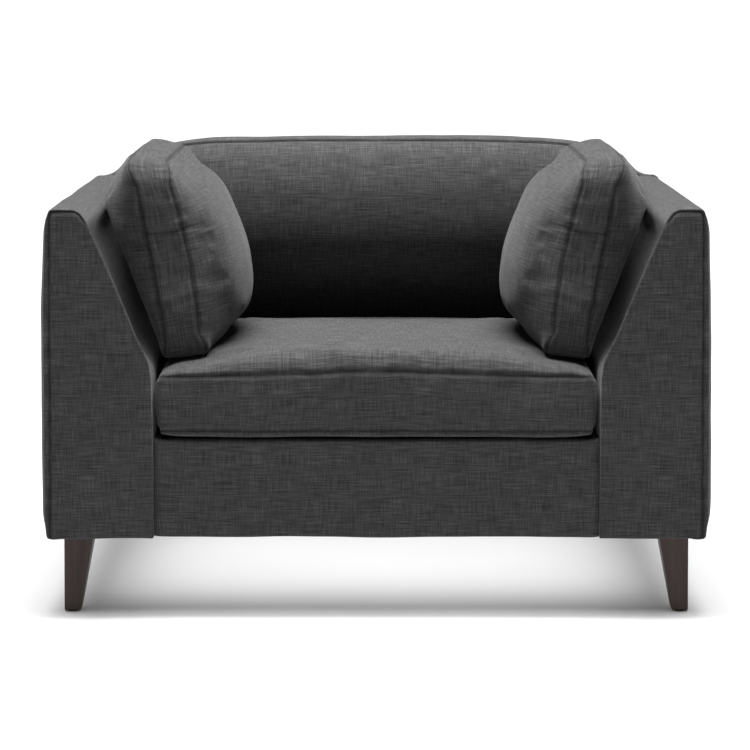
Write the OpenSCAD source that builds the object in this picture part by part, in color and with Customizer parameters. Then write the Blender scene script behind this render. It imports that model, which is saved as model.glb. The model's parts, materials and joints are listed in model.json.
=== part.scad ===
// Upholstered armchair, one and a half seats wide, with wedge-section arms,
// a tight back, one loose seat cushion and two loose side pillows.
// X runs left to right as seen from the front, Y runs front to back, Z is up.
// The origin is on the floor, under the middle of the chair.

/* [Body] */
// Clear width between the arms at seat level
seat_w = 812; // [720:4:920]
// Width of each arm at its base
arm_w = 206; // [196:2:220]
// Width of the flat top of each arm
arm_top_w = 67; // [62:1:76]
// Depth of the whole chair
body_d = 840; // [800:5:880]
// Height of the body's underside above the floor
leg_h = 150; // [120:1:180]
// Height of the seat deck that the cushion lies on
deck_h = 330; // [320:1:345]
// Height of the arms
arm_h = 747; // [730:1:765]
// Height of the back
back_h = 828; // [815:1:850]
// Radius of the rear corners, seen from above
corner_r = 180; // [170:1:185]

/* [Cushions] */
// Thickness of the seat cushion at its sides
cushion_t = 134; // [125:1:140]
// Extra height in the middle of the seat cushion
crown = 6; // [3:1:9]
// Length of a side pillow, front to back
pillow_l = 480; // [440:5:490]
// Height of a side pillow
pillow_h = 385; // [350:5:400]
// Width of the strip that joins a pillow's two faces
pillow_band = 74; // [60:2:80]
// How far a pillow's inner face swells past its strip
pillow_puff = 88; // [60:2:95]
// Angle at which the pillows lean out against the arms
pillow_lean = 10; // [8:0.5:11]

/* [Legs] */
// Side of the square top of a leg
leg_top = 62; // [50:1:64]
// Side of the square foot of a leg
leg_foot = 30; // [26:1:36]
// Height of the glide under each leg
glide_h = 3; // [2:0.5:4]

/* [Springs] */
// Number of zigzag springs across the seat
spring_n = 5; // [3:1:6]
// Diameter of the spring wire
wire_d = 3.8; // [3.2:0.1:4]

/* [Hidden] */

fabric = [0.24, 0.24, 0.245];
seam_fabric = [0.20, 0.20, 0.205];
timber = [0.78, 0.66, 0.48];
board = [0.62, 0.47, 0.31];
foam = [0.93, 0.90, 0.78];
steel = [0.62, 0.63, 0.65];
leg_wood = [0.26, 0.21, 0.20];

si = seat_w / 2;            // inner face of an arm at seat level
hw = si + arm_w;            // outer face of an arm
yf = -body_d / 2;           // front of the arms
yr = body_d / 2;            // rear face
by = yr - 185;              // plane where the arms meet the back
z0 = leg_h;                 // underside of the body
zr = deck_h - 18;           // top of the seat rails
zc = deck_h - 8;            // lower edge of the fabric inside the seat well
zs = deck_h + cushion_t;    // top of the seat cushion at its sides
ti = hw - arm_top_w;        // inner edge of the arm's flat top
skin = 2.5;                 // fabric with its lining
rail_t = 24;                // thickness of the seat rails
wf = yf + 18;               // front of the arm's boards
fo = 18;                    // padding between an arm's outer board and its fabric
cy = yr - 132;              // front face of the back's frame
cx = hw - corner_r;         // centre of the rear corner's radius
cyr = yr - corner_r;

// ---------- helpers ----------
function unit(v) = v / norm(v);
function left_of(a, b) = let (u = unit(b - a)) [-u[1], u[0]];
function meet(p, u, q, v) = let (w = q - p) p + u * ((w[0] * v[1] - w[1] * v[0]) / (u[0] * v[1] - u[1] * v[0]));
// Every edge of an anticlockwise outline moved inwards by d.
function inset(p, d) = let (n = len(p)) [for (i = [0 : n - 1])
  let (a = p[(i + n - 1) % n], b = p[i], c = p[(i + 1) % n])
  meet(b + left_of(a, b) * d, unit(b - a), b + left_of(b, c) * d, unit(c - b))];
// The same outline with its lowest points moved to height z.
function foot_at(p, low, z) = [for (q = p) q[1] < low ? [q[0], z] : q];
// An outline and its mirror image in the second axis, as one anticlockwise outline.
function both(p) = concat(p, [for (i = [len(p) - 1 : -1 : 0]) [-p[i][0], p[i][1]]]);

module along_y(y0, y1) translate([0, y1, 0]) rotate([90, 0, 0]) linear_extrude(y1 - y0) children();
module along_x(x0, x1) translate([x0, 0, 0]) rotate([90, 0, 90]) linear_extrude(x1 - x0) children();
module block(x0, x1, y0, y1, z0, z1) translate([x0, y0, z0]) cube([x1 - x0, y1 - y0, z1 - z0]);
module side(s) { if (s > 0) children(); else mirror([1, 0, 0]) children(); }

// ---------- arm ----------
lean = (ti - 19 - si - 7) / (arm_h - 12 - zs - 18);   // run of the arm's inner slope per unit of height
function arm_section() = [
  [si, z0], [hw, z0], [hw, arm_h - 10], [hw - 3, arm_h - 3], [hw - 10, arm_h],
  [ti, arm_h], [ti - 11, arm_h - 4], [ti - 19, arm_h - 12],
  [si + 7, zs + 18], [si + 2, zs + 2], [si, zs - 22]];
function slope_x(z) = si + 47 + lean * (z - zs - 18);
slope_z = zs + 18 + (20 - 47) / lean;
// Outline of the arm's wooden frame, with its foot at z.
function arm_frame(z) = [
  [si + 20, z], [hw - fo, z], [hw - fo, arm_h - 20], [slope_x(arm_h - 20), arm_h - 20], [si + 20, slope_z]];

module arm_lower_cut() block(si - 1, si + 20, yf + 26, by + 1, z0 - 1, zc);

module arm_cover(s) color(fabric) side(s) difference() {
  along_y(yf, by) polygon(arm_section());
  along_y(yf + skin, by + 1) polygon(foot_at(inset(arm_section(), skin), z0 + 10, z0 - 1));
  arm_lower_cut();
}

module arm_padding(s) color(foam) side(s) difference() {
  along_y(yf + skin, by) polygon(foot_at(inset(arm_section(), skin), z0 + 10, z0));
  along_y(wf, by + 1) polygon(arm_frame(z0 - 1));
  arm_lower_cut();
}

module arm_front_board(s) color(board) side(s)
  along_y(wf, wf + 18) polygon(arm_frame(z0 + 2));

// The rear board is notched for the seat rail that runs through to the back.
module arm_rear_board(s) color(board) side(s) difference() {
  along_y(by - 18, by) polygon(arm_frame(z0 + 2));
  block(si + 19, si + 42, by - 19, by + 1, z0, zr + 2);
}

module arm_top_rail(s) color(timber) side(s)
  block(hw - 43, hw - fo - 4, wf + 18, by - 18, arm_h - 48, arm_h - 20);

module base_rail(s) color(timber) side(s) difference() {
  block(hw - 104, hw - fo - 4, wf + 18, by - 18, z0 + 2, z0 + 26);
  leg_bore(front_leg_x, front_leg_y);
}

module arm_outer_panel(s) color(board) side(s)
  block(hw - fo - 4, hw - fo, wf + 18, by - 18, z0 + 2, arm_h - 20);

module arm_inner_panel(s) color(board) side(s)
  along_y(wf + 18, by - 18) polygon([
    [slope_x(arm_h - 20), arm_h - 20], [si + 20, slope_z], [si + 20, zr + 4], [si + 24, zr + 4],
    [si + 24, slope_z - 1], [slope_x(arm_h - 20) + 4.4, arm_h - 20]]);

// ---------- seat frame ----------
module front_seat_rail() color(timber)
  block(-si - 20, si + 20, yf + 26, yf + 26 + rail_t, z0 + 2, zr);

module rear_seat_rail() color(timber)
  block(-hw + 27, hw - 27, cy, cy + rail_t, z0 + 2, zr);

module seat_rail(s) color(timber) side(s)
  block(si + 20, si + 42, wf + 18, cy, z0 + 2, zr);

module seat_stretcher() color(timber)
  block(-22, 22, yf + 26 + rail_t, cy, z0 + 22, z0 + 62);

module rear_leg_blocks() color(timber) for (s = [-1, 1]) side(s) difference() {
  translate([0, 0, z0 + 2]) linear_extrude(38) polygon([
    [hw - 142, cy + rail_t], [hw - 40, cy + rail_t], [hw - 60, cy + 62],
    [hw - 92, cy + 84], [hw - 142, cy + 97]]);
  leg_bore(rear_leg_x, rear_leg_y);
}

module deck_pad() color([0.16, 0.16, 0.17])
  block(-si + 2, si - 2, yf + 27, by + 3, deck_h - 11, deck_h);

// Zigzag springs of round wire: straight bars joined by half rings.
spring_y0 = yf + 38;
spring_y1 = cy + 12;
bends = 22;
pitch = (spring_y1 - spring_y0) / bends;
bar = 26;
spring_z = zr + 3;
function spring_x(i) = -si + 86 + i * (2 * si - 172) / (spring_n - 1);

module half_ring(r) rotate_extrude(angle = 180, $fn = 48) translate([r, 0]) circle(d = wire_d, $fn = 24);

module spring() {
  for (i = [0 : bends]) translate([-bar / 2, i * pitch, 0]) rotate([0, 90, 0]) cylinder(h = bar, d = wire_d, $fn = 24);
  for (i = [0 : bends - 1]) let (s = i % 2 == 0 ? 1 : -1)
    translate([s * bar / 2, (i + 0.5) * pitch, 0]) rotate([0, 0, s > 0 ? -90 : 90]) half_ring(pitch / 2);
}

module seat_springs() color(steel)
  for (i = [0 : spring_n - 1]) translate([spring_x(i), spring_y0, spring_z]) spring();

// A clip folds over the end bar of each spring on the rail.
module clip() along_x(-8, 8) polygon([
  [-8, -3], [6, -3], [6, 3], [-5, 3], [-5, 2.1], [5.1, 2.1], [5.1, -2.1], [-8, -2.1]]);

module spring_clips() color([0.35, 0.36, 0.38]) for (i = [0 : spring_n - 1]) {
  translate([spring_x(i), spring_y0, spring_z]) mirror([0, 1, 0]) clip();
  translate([spring_x(i), spring_y1, spring_z]) clip();
}

// ---------- back ----------
// Side profile: a rolled front face that falls away above the seat.
function back_profile() = [
  [by + 5, z0], [yr, z0], [yr, back_h - 66], [yr - 4, back_h - 36], [yr - 16, back_h - 16],
  [yr - 36, back_h - 4], [yr - 70, back_h], [yr - 120, back_h], [yr - 144, back_h - 5],
  [yr - 160, back_h - 14], [yr - 192, back_h - 56], [yr - 214, back_h - 112],
  [yr - 223, back_h - 173], [yr - 222, back_h - 228], [yr - 212, back_h - 288],
  [yr - 194, back_h - 350], [by + 5, back_h - 398]];
// Front elevation: level in the middle, with shoulders that fall to the arms.
function back_elevation() = both([
  [hw + 2, z0 - 1], [hw + 2, arm_h - 12], [hw - 5, arm_h - 3], [hw - 18, arm_h + 3],
  [hw - 46, arm_h + 13], [hw - 82, arm_h + 34], [hw - 116, back_h - 24], [hw - 156, back_h - 7],
  [hw - 202, back_h + 2]]);
// Plan: round rear corners, and a front face that steps back to the arms.
function back_plan() = both(concat(
  [[si + 94, yr - 230], [hw - 72, by], [hw, by]],
  [for (a = [0 : 15 : 90]) [cx + corner_r * cos(a), cyr + (corner_r + 1) * sin(a)]]));

module back_body(d, foot) difference() {
  intersection() {
    along_x(-hw - 5, hw + 5) polygon(foot_at(inset(back_profile(), d), z0 + 10, foot));
    along_y(by - 60, yr + 5) polygon(foot_at(inset(back_elevation(), d), z0 + 10, foot - 1));
    translate([0, 0, foot - 2]) linear_extrude(back_h + 10) polygon(inset(back_plan(), d));
  }
  for (s = [-1, 1]) side(s)
    along_y(by - 80, by + d) polygon(foot_at(inset(arm_section(), -d), z0 + 10, foot - 3));
}

back_void_plan = both([
  [hw - 24, cy - 3.2], [hw - 24, cy + 26], [hw - 52, cy + 62], [hw - 112, cy + 107], [hw - 180, cy + 117]]);
back_void_side = both([
  [hw - 27, z0 - 2], [hw - 27, arm_h - 42], [hw - 67, arm_h - 12], [hw - 112, back_h - 58],
  [hw - 172, back_h - 38]]);

module back_void() intersection() {
  translate([0, 0, z0 - 5]) linear_extrude(back_h) polygon(back_void_plan);
  along_y(cy - 10, yr) polygon(back_void_side);
}

module back_lower_cut() translate([0, 0, z0 - 5]) linear_extrude(zc - z0 + 5) polygon(both([
  [hw - 16, by - 60], [hw - 16, cy + 8], [hw - 24, cy + 26], [hw - 52, cy + 62], [hw - 112, cy + 107],
  [hw - 180, cy + 117]]));

module outside_panel() block(-cx + 2, cx - 2, yr - skin, yr + 1, z0 - 1, back_h - 73);

module back_cover() color(fabric) difference() {
  back_body(0, z0);
  back_body(skin, z0 - 5);
  outside_panel();
  back_lower_cut();
}

module outside_back_cover() color(fabric)
  block(-cx + 2, cx - 2, yr - skin, yr, z0, back_h - 73);

module back_padding() color(foam) difference() {
  back_body(skin, z0);
  back_void();
  back_lower_cut();
}

module back_board(s) color(board) side(s)
  along_y(cy, cy + rail_t) polygon([
    [hw - 176, zr], [hw - 27, zr], [hw - 27, arm_h - 42], [hw - 67, arm_h - 12],
    [hw - 112, back_h - 58], [hw - 172, back_h - 40], [hw - 176, back_h - 40]]);

module back_top_rail() color(timber)
  block(-hw + 176, hw - 176, cy, cy + rail_t, back_h - 90, back_h - 40);

module back_lower_rail() color(timber)
  block(-hw + 176, hw - 176, cy, cy + rail_t, deck_h + 10, deck_h + 60);

module back_webbing() color([0.12, 0.12, 0.13]) {
  for (x = [-1 : 0.5 : 1]) block(x * (si - 66) - 25, x * (si - 66) + 25, cy - 1.6, cy, deck_h + 14, back_h - 48);
  for (z = [zs - 24, zs + 96, zs + 216]) block(-hw + 52, hw - 52, cy - 3.2, cy - 1.6, z - 25, z + 25);
}

// ---------- front border and underside ----------
module border_cover() color(fabric) along_x(-si, si) polygon([
  [yf + 8, z0], [yf + 26, z0], [yf + 26, z0 + skin], [yf + 8 + skin, z0 + skin],
  [yf + 8 + skin, deck_h - 1 - skin], [yf + 26, deck_h - 1 - skin], [yf + 26, deck_h - 1], [yf + 8, deck_h - 1]]);

module border_padding() color(foam)
  block(-si, si, yf + 8 + skin, yf + 26, z0 + skin, deck_h - 1 - skin);

module dust_cover() color([0.05, 0.05, 0.055]) translate([0, 0, z0]) difference() {
  linear_extrude(1.5) polygon(both([
    [hw - 18, yf + 28], [hw - 18, cy - 1], [hw - 53, cy + 61], [hw - 113, cy + 106], [hw - 181, cy + 116]]));
  for (s = [-1, 1]) {
    translate([s * front_leg_x, front_leg_y, -1]) cylinder(h = 4, r = 6, $fn = 48);
    translate([s * rear_leg_x, rear_leg_y, -1]) cylinder(h = 4, r = 6, $fn = 48);
  }
}

// ---------- legs ----------
front_leg_x = hw - 40.5 - leg_top / 2;
front_leg_y = yf + 35 + leg_top / 2;
rear_leg_x = hw - 67 - leg_top / 2;
rear_leg_y = yr - 60 - leg_top / 2;
foot_off = (leg_top - leg_foot) / 2 + 5;   // how far the foot stands out from under the leg's centre

module leg_bore(x, y) {
  translate([x, y, z0]) cylinder(h = 14.01, r = 4.5, $fn = 48);
  translate([x, y, z0 + 14]) cylinder(h = 60, r = 5.5, $fn = 48);
}

// Square taper: the outer and front faces stand upright and the inner ones slope.
module leg(x, y, dy) color(leg_wood) translate([x, y, 0]) difference() {
  hull() {
    translate([-leg_top / 2, -leg_top / 2, z0 - 0.5]) cube([leg_top, leg_top, 0.5]);
    translate([foot_off - leg_foot / 2, dy * foot_off - leg_foot / 2, glide_h + 4]) cube([leg_foot, leg_foot, 0.5]);
    translate([foot_off - leg_foot / 2 + 1.5, dy * foot_off - leg_foot / 2 + 1.5, glide_h]) cube([leg_foot - 4, leg_foot - 3, 0.5]);
  }
  translate([0, 0, z0 - 60]) cylinder(h = 61, r = 4, $fn = 48);
  translate([foot_off, dy * foot_off, glide_h - 1]) cylinder(h = 14, r = 1.5, $fn = 32);
}

module front_leg(s) side(s) leg(front_leg_x, front_leg_y, -1);
module rear_leg(s) side(s) leg(rear_leg_x, rear_leg_y, 1);

module at_legs() for (s = [-1, 1]) {
  translate([s * front_leg_x, front_leg_y, 0]) children();
  translate([s * rear_leg_x, rear_leg_y, 0]) children();
}

module leg_bolts() color(steel) at_legs() translate([0, 0, z0 - 57]) cylinder(h = 94, r = 3.95, $fn = 48);

module leg_tee_nuts() color([0.72, 0.70, 0.62]) for (s = [-1, 1]) {
  translate([s * front_leg_x, front_leg_y, z0 + 26]) tee_nut(12);
  translate([s * rear_leg_x, rear_leg_y, z0 + 40]) tee_nut(26);
}
module tee_nut(h) difference() {
  union() {
    cylinder(h = 1.5, r = 11, $fn = 48);
    translate([0, 0, -h + 0.5]) cylinder(h = h, r = 5.4, $fn = 48);
  }
  translate([0, 0, -h - 1]) cylinder(h = h + 4, r = 4, $fn = 48);
}

module glide() {
  cylinder(h = glide_h, r = 11, $fn = 48);
  cylinder(h = glide_h + 12, r = 1.45, $fn = 32);
}
module leg_glides() color([0.10, 0.09, 0.09]) for (s = [-1, 1]) {
  translate([s * (front_leg_x + foot_off), front_leg_y - foot_off, 0]) glide();
  translate([s * (rear_leg_x + foot_off), rear_leg_y + foot_off, 0]) glide();
}

// ---------- seat cushion ----------
sr = by - 22;      // rear face of the seat cushion
function cushion_side() = [
  [yf + 16, deck_h], [sr - 10, deck_h], [sr - 1.5, deck_h + 5], [sr, deck_h + 14],
  [sr, zs - 22], [sr - 3, zs - 11], [sr - 18, zs], [sr - 53, zs + crown - 1], [sr - 120, zs + crown + 1],
  [yf + 220, zs + crown + 1], [yf + 70, zs + crown - 1], [yf + 30, zs - 1], [yf + 12, zs - 11],
  [yf + 4, zs - 23], [yf + 2, zs - 39], [yf + 2, deck_h + 22], [yf + 6, deck_h + 8]];
function cushion_front() = both([
  [si - 11, deck_h - 1], [si - 4, deck_h + 4], [si - 1, deck_h + 14], [si - 1, zs - 18],
  [si - 8, zs - 7], [si - 28, zs - 2], [si - 106, zs], [si - 206, zs + crown * 0.5], [60, zs + crown]]);

module cushion_body(d) intersection() {
  along_x(-si - 5, si + 5) polygon(inset(cushion_side(), d));
  along_y(yf - 5, by) polygon(inset(cushion_front(), d));
}

zip_w = 30;
seat_zip_l = 2 * si - 112;
zip_z = deck_h + 67;

module seat_cushion_cover() color(fabric) difference() {
  cushion_body(0);
  cushion_body(2);
  block(-seat_zip_l / 2, seat_zip_l / 2, sr - 4, sr + 1, zip_z - zip_w / 2, zip_z + zip_w / 2);
}
module seat_cushion_core() color(foam) cushion_body(2.2);

// ---------- zips ----------
// A zip lies along local X with its outer side up: woven tape with a raised coil down the middle.
module zip(l) {
  translate([-l / 2, -zip_w / 2, -0.8]) cube([l, zip_w, 0.8]);
  translate([-l / 2 + 5, -2.5, -0.1]) cube([l - 10, 2.5 * 2, 1.5]);
}
pin_h = 5.1;   // height of the pull's pin above the tape
module zip_slider() {
  translate([-7, -4.8, 1.7]) cube([14, 9.6, 1.2]);
  for (s = [-1, 1]) {
    translate([-7, s > 0 ? 2.9 : -4.8, 0.3]) cube([14, 1.9, 1.5]);
    translate([-2, s > 0 ? 2 : -3.2, 2.8]) cube([4, 1.2, 3.4]);
  }
  translate([0, -2.5, pin_h]) rotate([-90, 0, 0]) cylinder(h = 5, r = 0.75, $fn = 32);
}
module zip_pull() difference() {
  union() {
    translate([0, -1.7, pin_h]) rotate([-90, 0, 0]) cylinder(h = 3.4, r = 1.9, $fn = 48);
    translate([0.5, -1.7, pin_h - 0.6]) cube([6, 3.4, 1.2]);
    translate([5, -3.5, pin_h - 0.6]) cube([12, 7, 1.2]);
    translate([17, 0, pin_h - 0.6]) cylinder(h = 1.2, r = 3.5, $fn = 48);
  }
  translate([0, -3, pin_h]) rotate([-90, 0, 0]) cylinder(h = 6, r = 0.8, $fn = 32);
  translate([15.5, 0, pin_h - 2]) cylinder(h = 4, r = 1.6, $fn = 32);
}
module at_seat_zip(x) translate([x, sr - 1, zip_z]) rotate([90, 0, 180]) children();

module seat_zip() color([0.10, 0.10, 0.11]) at_seat_zip(0) zip(seat_zip_l);
module seat_zip_slider() color([0.30, 0.30, 0.31]) at_seat_zip(26 - seat_zip_l / 2) zip_slider();
module seat_zip_pull() color([0.30, 0.30, 0.31]) at_seat_zip(26 - seat_zip_l / 2) zip_pull();

// ---------- side pillows ----------
pillow_x = si - 48;            // middle of the pillow's foot
pillow_z = zs + 0.5;
pillow_y0 = yf + 78;
pillow_yc = pillow_y0 + pillow_l / 2;
hb = pillow_band / 2;
// One quarter of the outline, from the middle of the rear edge to the middle of the top.
function pillow_outline(d) = let (r = 45, a = pillow_l / 2 - d, b = pillow_h / 2 - d)
  let (q = [[a, 0], [a, b * 0.45], [a, b - r], [a - r * 0.13, b - r * 0.5], [a - r * 0.5, b - r * 0.13],
    [a - r, b], [a * 0.4, b]])
  concat(q, [for (i = [len(q) - 1 : -1 : 0]) if (q[i][0] > 0) [-q[i][0], q[i][1]]],
    [for (i = [1 : len(q) - 1]) [-q[i][0], -q[i][1]]],
    [for (i = [len(q) - 1 : -1 : 1]) [q[i][0], -q[i][1]]]);
// Rings from the inner face to the outer face: [place across the pillow, share of the outline, rise].
function pillow_rings(d) = [
  [-hb - pillow_puff * 0.97 + d, 0.30, -45], [-hb - pillow_puff * 0.84 + d, 0.55, -45],
  [-hb - pillow_puff * 0.62 + d, 0.76, -45], [-hb - pillow_puff * 0.32 + d * 0.6, 0.91, -45],
  [-hb, 1, 0], [hb, 1, 0],
  [hb + 26 - d * 0.6, 0.92, 60], [hb + 52 - d, 0.78, 60], [hb + 72 - d, 0.56, 60], [hb + 82 - d, 0.30, 60]];
module pillow_blank(d) {
  o = pillow_outline(d);
  r = pillow_rings(d);
  n = len(o);
  m = len(r);
  pts = concat(
    [for (k = r) for (p = o) [k[0], p[0] * k[1], pillow_h / 2 + p[1] * k[1] + k[2] * (1 - k[1])]],
    [[-hb - pillow_puff + d, 0, pillow_h / 2 - 45], [hb + 86 - d, 0, pillow_h / 2 + 60]]);
  tri = concat(
    [for (k = [0 : m - 2]) for (i = [0 : n - 1]) let (j = (i + 1) % n) [k * n + i, (k + 1) * n + j, k * n + j]],
    [for (k = [0 : m - 2]) for (i = [0 : n - 1]) let (j = (i + 1) % n) [k * n + i, (k + 1) * n + i, (k + 1) * n + j]],
    [for (i = [0 : n - 1]) [m * n, i, (i + 1) % n]],
    [for (i = [0 : n - 1]) [m * n + 1, (m - 1) * n + (i + 1) % n, (m - 1) * n + i]]);
  translate([pillow_x, pillow_yc, pillow_z]) rotate([0, pillow_lean, 0]) polyhedron(pts, tri, convexity = 4);
}
// The pillow is flat where it rests on the seat and on the arm.
module pillow_body(d) difference() {
  pillow_blank(d);
  along_y(yf - 10, by + 10) polygon(inset(arm_section(), -0.5 - d));
  block(0, hw, yf - 10, by, z0, pillow_z + d);
}
pillow_zip_l = pillow_h - 105;
module at_pillow_zip(h) translate([pillow_x, pillow_y0 + pillow_l - 1, pillow_z])
  rotate([0, pillow_lean, 0]) translate([0, 0, h]) rotate([0, -90, 0]) rotate([90, 0, 180]) children();

module pillow_cover(s) color(fabric) side(s) difference() {
  pillow_body(0);
  pillow_body(2);
  at_pillow_zip(pillow_h / 2) translate([-pillow_zip_l / 2, -zip_w / 2, -3]) cube([pillow_zip_l, zip_w, 6]);
}
module pillow_filling(s) color(foam) side(s) pillow_body(2.4);
module pillow_zip(s) color([0.10, 0.10, 0.11]) side(s) at_pillow_zip(pillow_h / 2) zip(pillow_zip_l);
slider_h = (pillow_h - pillow_zip_l) / 2 + 26;
module pillow_zip_slider(s) color([0.30, 0.30, 0.31]) side(s) at_pillow_zip(slider_h) zip_slider();
module pillow_zip_pull(s) color([0.30, 0.30, 0.31]) side(s) at_pillow_zip(slider_h) zip_pull();

front_seat_rail();
rear_seat_rail();
seat_rail(-1);  // left_seat_rail
seat_rail(1);  // right_seat_rail
seat_stretcher();
base_rail(-1);  // left_base_rail
base_rail(1);  // right_base_rail
rear_leg_blocks();
arm_front_board(-1);  // left_arm_front_board
arm_front_board(1);  // right_arm_front_board
arm_rear_board(-1);  // left_arm_rear_board
arm_rear_board(1);  // right_arm_rear_board
arm_top_rail(-1);  // left_arm_top_rail
arm_top_rail(1);  // right_arm_top_rail
arm_outer_panel(-1);  // left_arm_outer_panel
arm_outer_panel(1);  // right_arm_outer_panel
arm_inner_panel(-1);  // left_arm_inner_panel
arm_inner_panel(1);  // right_arm_inner_panel
back_board(-1);  // left_back_board
back_board(1);  // right_back_board
back_top_rail();
back_lower_rail();
back_webbing();
seat_springs();
spring_clips();
deck_pad();
arm_padding(-1);  // left_arm_padding
arm_padding(1);  // right_arm_padding
back_padding();
border_padding();
arm_cover(-1);  // left_arm_cover
arm_cover(1);  // right_arm_cover
back_cover();
outside_back_cover();
border_cover();
dust_cover();
front_leg(-1);  // front_left_leg
front_leg(1);  // front_right_leg
rear_leg(-1);  // rear_left_leg
rear_leg(1);  // rear_right_leg
leg_bolts();
leg_tee_nuts();
leg_glides();
seat_cushion_cover();
seat_cushion_core();
seat_zip();
seat_zip_slider();
seat_zip_pull();
pillow_cover(-1);  // left_pillow_cover
pillow_filling(-1);  // left_pillow_filling
pillow_zip(-1);  // left_pillow_zip
pillow_zip_slider(-1);  // left_pillow_zip_slider
pillow_zip_pull(-1);  // left_pillow_zip_pull
pillow_cover(1);  // right_pillow_cover
pillow_filling(1);  // right_pillow_filling
pillow_zip(1);  // right_pillow_zip
pillow_zip_slider(1);  // right_pillow_zip_slider
pillow_zip_pull(1);  // right_pillow_zip_pull
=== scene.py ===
import bpy
import bmesh
import json
import math
import numpy as np
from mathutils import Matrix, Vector


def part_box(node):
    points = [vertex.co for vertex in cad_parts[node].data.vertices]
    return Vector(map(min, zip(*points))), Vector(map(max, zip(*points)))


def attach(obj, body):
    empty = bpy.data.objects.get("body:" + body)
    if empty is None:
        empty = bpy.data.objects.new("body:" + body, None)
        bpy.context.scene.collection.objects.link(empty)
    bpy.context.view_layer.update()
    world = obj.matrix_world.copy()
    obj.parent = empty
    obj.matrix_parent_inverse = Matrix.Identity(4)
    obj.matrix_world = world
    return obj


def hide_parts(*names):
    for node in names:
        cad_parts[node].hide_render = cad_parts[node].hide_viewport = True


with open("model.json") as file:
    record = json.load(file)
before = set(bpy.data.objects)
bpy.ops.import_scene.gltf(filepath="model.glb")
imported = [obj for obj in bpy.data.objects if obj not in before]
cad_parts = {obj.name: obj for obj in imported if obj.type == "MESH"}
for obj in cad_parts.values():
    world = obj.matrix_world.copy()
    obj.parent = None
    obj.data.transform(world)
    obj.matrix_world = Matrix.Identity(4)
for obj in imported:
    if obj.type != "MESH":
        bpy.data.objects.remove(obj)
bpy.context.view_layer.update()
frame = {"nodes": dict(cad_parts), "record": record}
scene = bpy.context.scene
MM = 0.001


# ---------------------------------------------------------------- numbers
def sstep(a, b, x):
    t = np.clip((np.asarray(x, float) - a) / (b - a), 0, 1)
    return t * t * (3 - 2 * t)


def curve(xs, ys):
    """A smooth monotone curve through the points."""
    xs, ys = np.array(xs, float), np.array(ys, float)
    h = np.diff(xs)
    d = np.diff(ys) / h
    m = np.zeros(len(xs))
    m[0], m[-1] = d[0], d[-1]
    for i in range(1, len(xs) - 1):
        m[i] = 0 if d[i - 1] * d[i] <= 0 else 2 * d[i - 1] * d[i] / (d[i - 1] + d[i])

    def f(x):
        x = np.clip(np.asarray(x, float), xs[0], xs[-1])
        k = np.clip(np.searchsorted(xs, x) - 1, 0, len(xs) - 2)
        t = (x - xs[k]) / h[k]
        a, b = ys[k], ys[k + 1]
        return ((1 + 2 * t) * (1 - t) ** 2 * a + t * (1 - t) ** 2 * h[k] * m[k]
                + t * t * (3 - 2 * t) * b + t * t * (t - 1) * h[k] * m[k + 1])
    return f


def catmull(P, n=None, step=None):
    """A smooth curve through the points of P, with points of equal spacing."""
    P = np.array(P, float)
    Q = np.vstack([2 * P[0] - P[1], P, 2 * P[-1] - P[-2]])
    out = []
    for i in range(1, len(Q) - 2):
        t = np.linspace(0, 1, 24, endpoint=False)[:, None]
        a, b, c, d = Q[i - 1], Q[i], Q[i + 1], Q[i + 2]
        out.append(0.5 * (2 * b + (c - a) * t + (2 * a - 5 * b + 4 * c - d) * t ** 2 + (3 * b - a - 3 * c + d) * t ** 3))
    out = np.vstack(out + [Q[-2][None]])
    return resample(out, n, step)


def resample(P, n=None, step=None):
    s = np.concatenate([[0], np.cumsum(np.linalg.norm(np.diff(P, axis=0), axis=1))])
    if n is None:
        n = max(2, int(round(s[-1] / step)) + 1)
    t = np.linspace(0, s[-1], n)
    return np.stack([np.interp(t, s, P[:, k]) for k in range(P.shape[1])], 1)


def waves(P, seed, size, n=14):
    """Smooth noise, about -1 to 1, with features of about that size."""
    rng = np.random.RandomState(seed)
    out = np.zeros(P.shape[:-1])
    for _ in range(n):
        d = rng.normal(size=3)
        d /= np.linalg.norm(d)
        k = 2 * math.pi / (size * (1.2 + 1.8 * rng.rand()))
        out += np.sin(P @ d * k + rng.rand() * 6.283)
    return out / math.sqrt(n)


def dense_ends(n, first, both=True, power=1.7):
    """0 to 1 with points closer together at the ends."""
    t = np.linspace(0, 1, n)
    if both:
        a = np.where(t < 0.5, 0.5 * (2 * t) ** power, 1 - 0.5 * (2 - 2 * t) ** power)
    else:
        a = t ** power
    return a


def coons(left, right, bottom, top):
    """A patch between four curves: left and right run upwards, bottom and top to the right."""
    M, N = len(left), len(bottom)
    v = np.linspace(0, 1, M)[:, None, None]
    u = np.linspace(0, 1, N)[None, :, None]
    # blend by the curves' own spacing
    def par(c):
        s = np.concatenate([[0], np.cumsum(np.linalg.norm(np.diff(c, axis=0), axis=1))])
        return s / s[-1]
    v = ((par(left) + par(right)) / 2)[:, None, None]
    u = ((par(bottom) + par(top)) / 2)[None, :, None]
    L, R, B, T = left[:, None, :], right[:, None, :], bottom[None, :, :], top[None, :, :]
    return ((1 - u) * L + u * R + (1 - v) * B + v * T
            - ((1 - u) * (1 - v) * bottom[0] + u * (1 - v) * bottom[-1] + (1 - u) * v * top[0] + u * v * top[-1]))


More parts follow.
